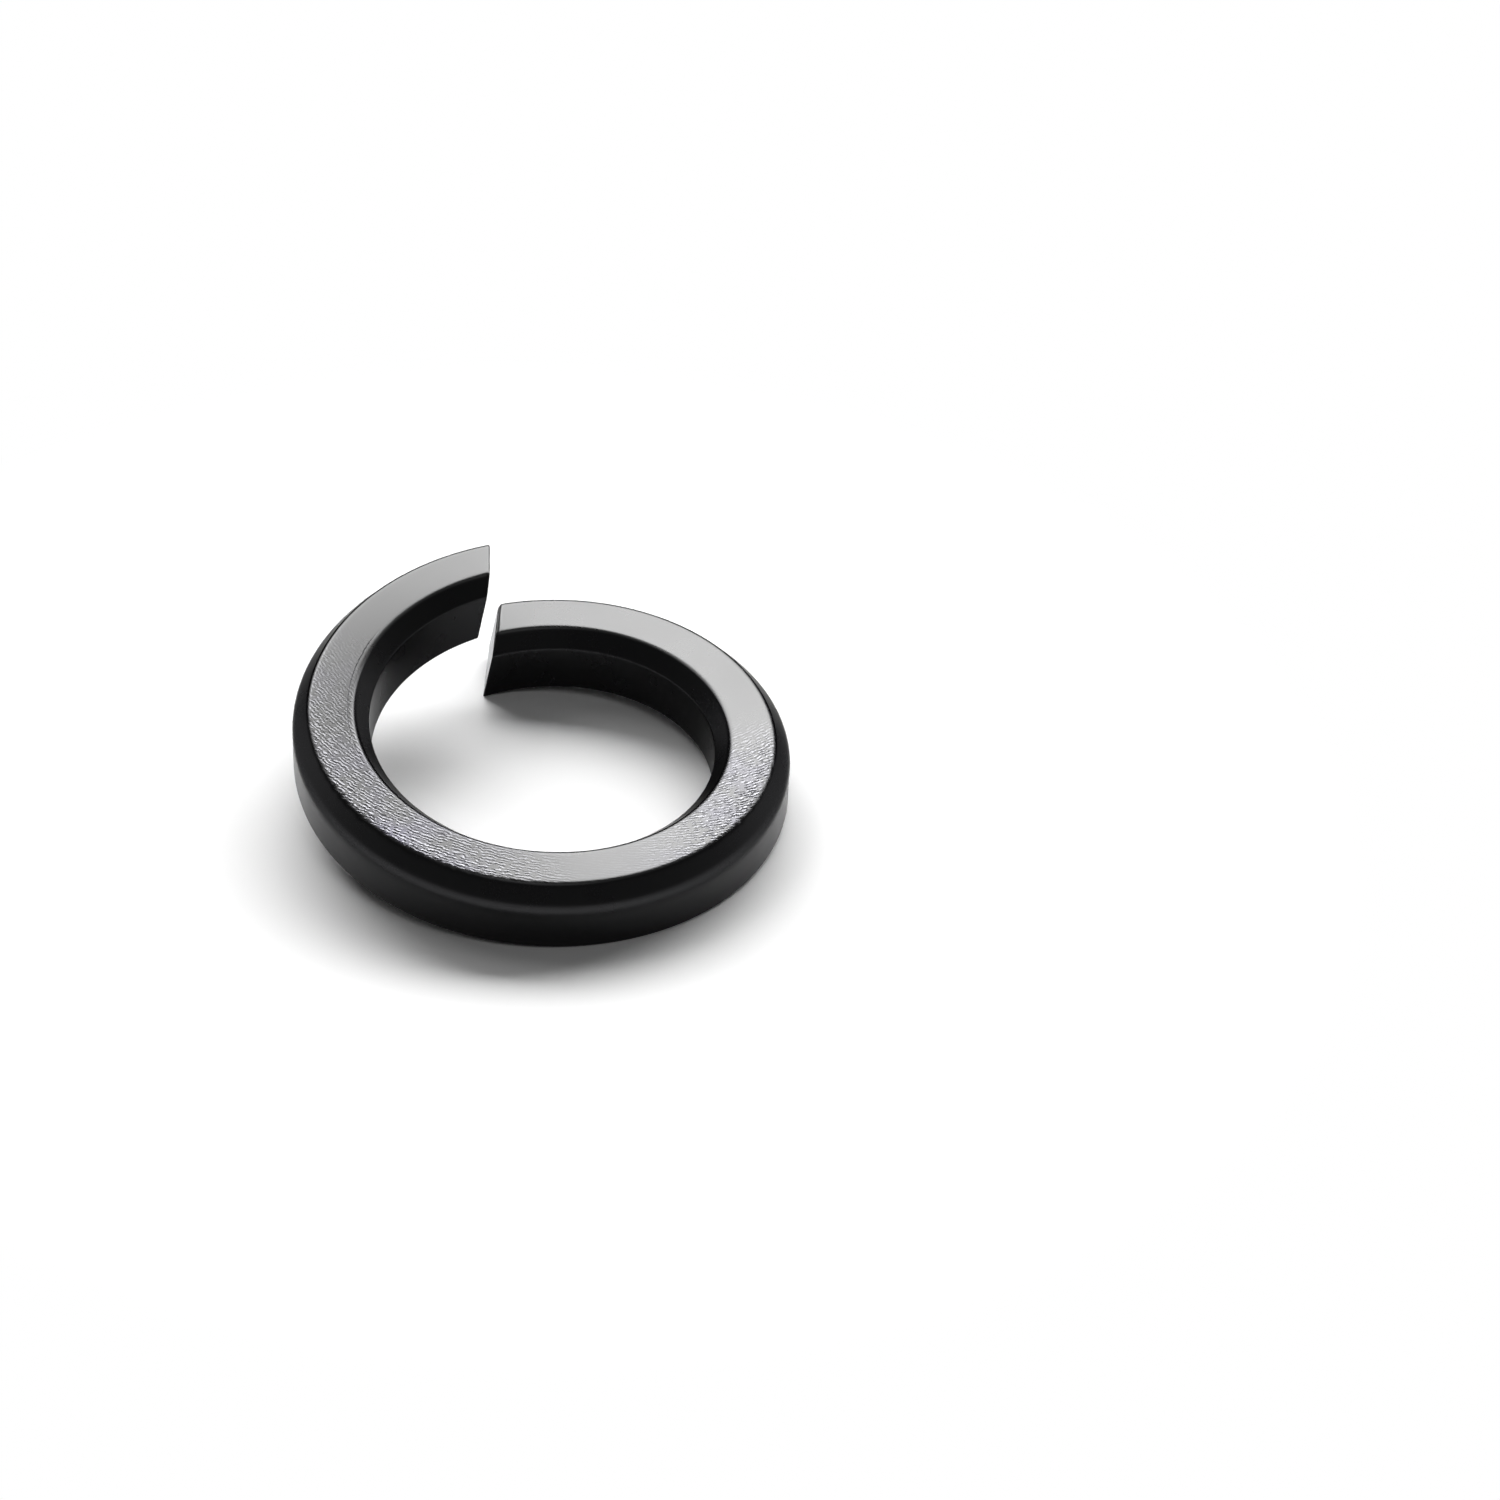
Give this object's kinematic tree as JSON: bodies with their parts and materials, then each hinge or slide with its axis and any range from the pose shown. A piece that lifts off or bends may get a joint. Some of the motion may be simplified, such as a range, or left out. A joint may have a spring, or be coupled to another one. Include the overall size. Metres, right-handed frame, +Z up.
{
  "type": "spring lock washer",
  "caption": "Helical spring lock washer of bevelled section, a left-handed coil with slanted sheared ends, for use under a screw head or nut.",
  "frame": {"origin": "on the bore's axis, at the level of the ground the washer rests on", "axes": "+Z up; the opening of the coil faces +Y; the bore's axis leans 6.5 degrees from +Z, away from the opening, because the washer lies on its lower tip and on its rim across from it"},
  "size_m": [0.0177, 0.0178, 0.0057],
  "materials": {
    "blackened_spring_steel": "satin black oxide"
  },
  "bodies": {
    "root": {"washer": "blackened_spring_steel"}
  },
  "joints": []
}
